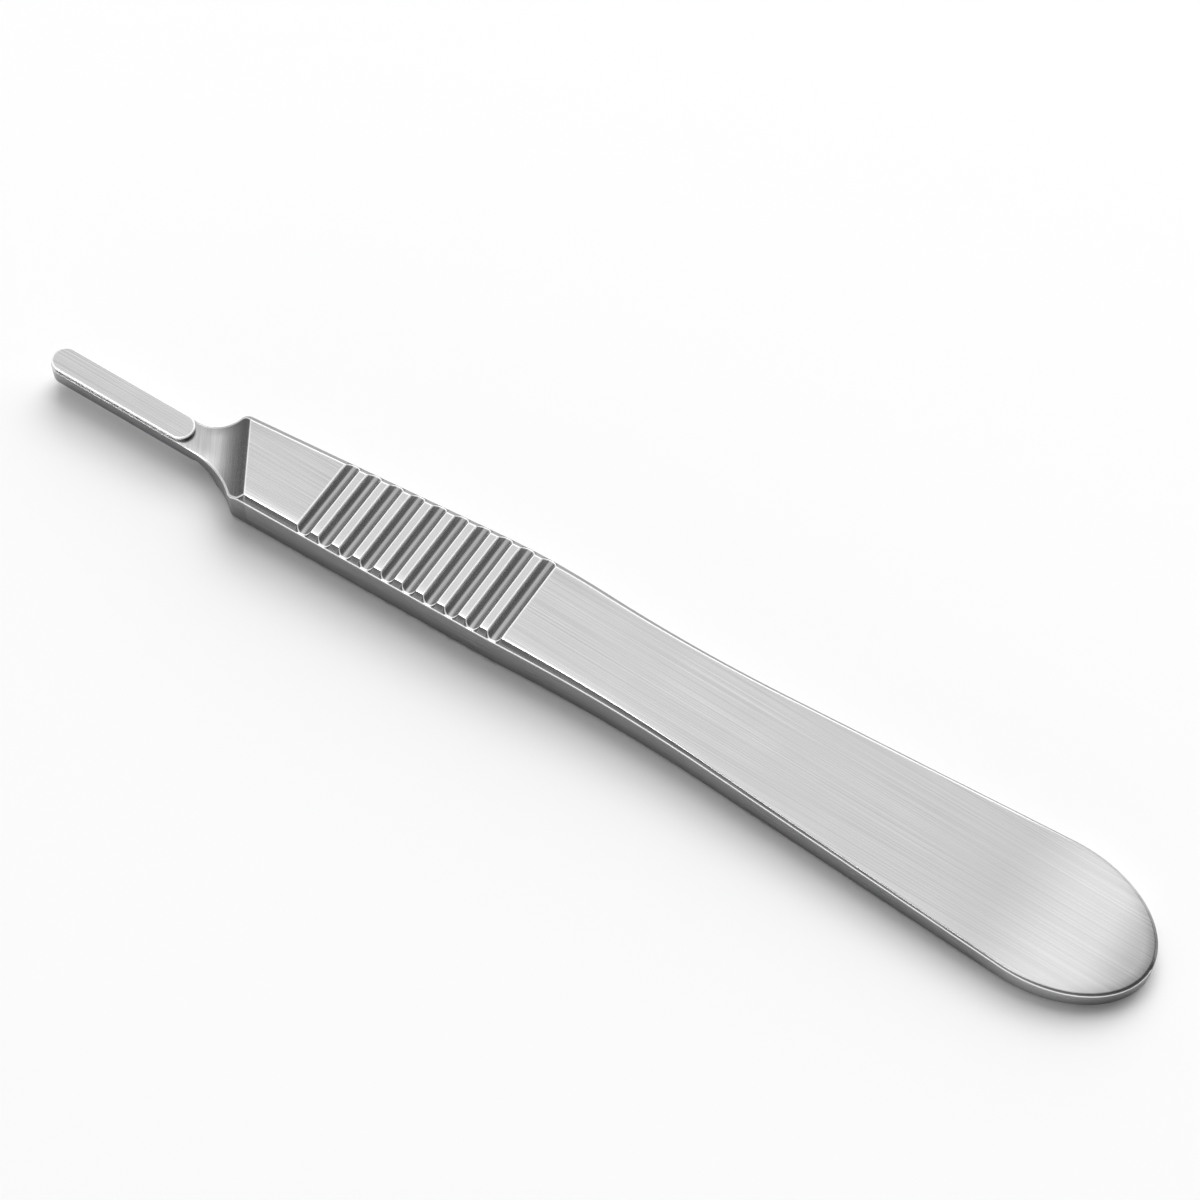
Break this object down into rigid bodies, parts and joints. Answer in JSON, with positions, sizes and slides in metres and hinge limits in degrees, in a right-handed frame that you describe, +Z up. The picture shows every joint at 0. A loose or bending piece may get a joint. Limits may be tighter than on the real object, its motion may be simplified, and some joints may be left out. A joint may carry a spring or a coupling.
{
  "type": "scalpel handle",
  "caption": "Flat steel scalpel handle with a keyed blade fitting, an oblique scooped shoulder, a cross-grooved grip and a flared rounded butt, without its blade.",
  "frame": {"origin": "middle of the handle's length and width, on the plane that its underside rests on", "axes": "+X from the blade fitting to the butt, +Y to the side where the shoulder edge comes nearer to the fitting, +Z up out of the grooved face"},
  "size_m": [0.125, 0.015, 0.0049],
  "materials": {
    "handle": "satin brushed"
  },
  "bodies": {
    "root": {"handle": "handle"}
  },
  "joints": []
}
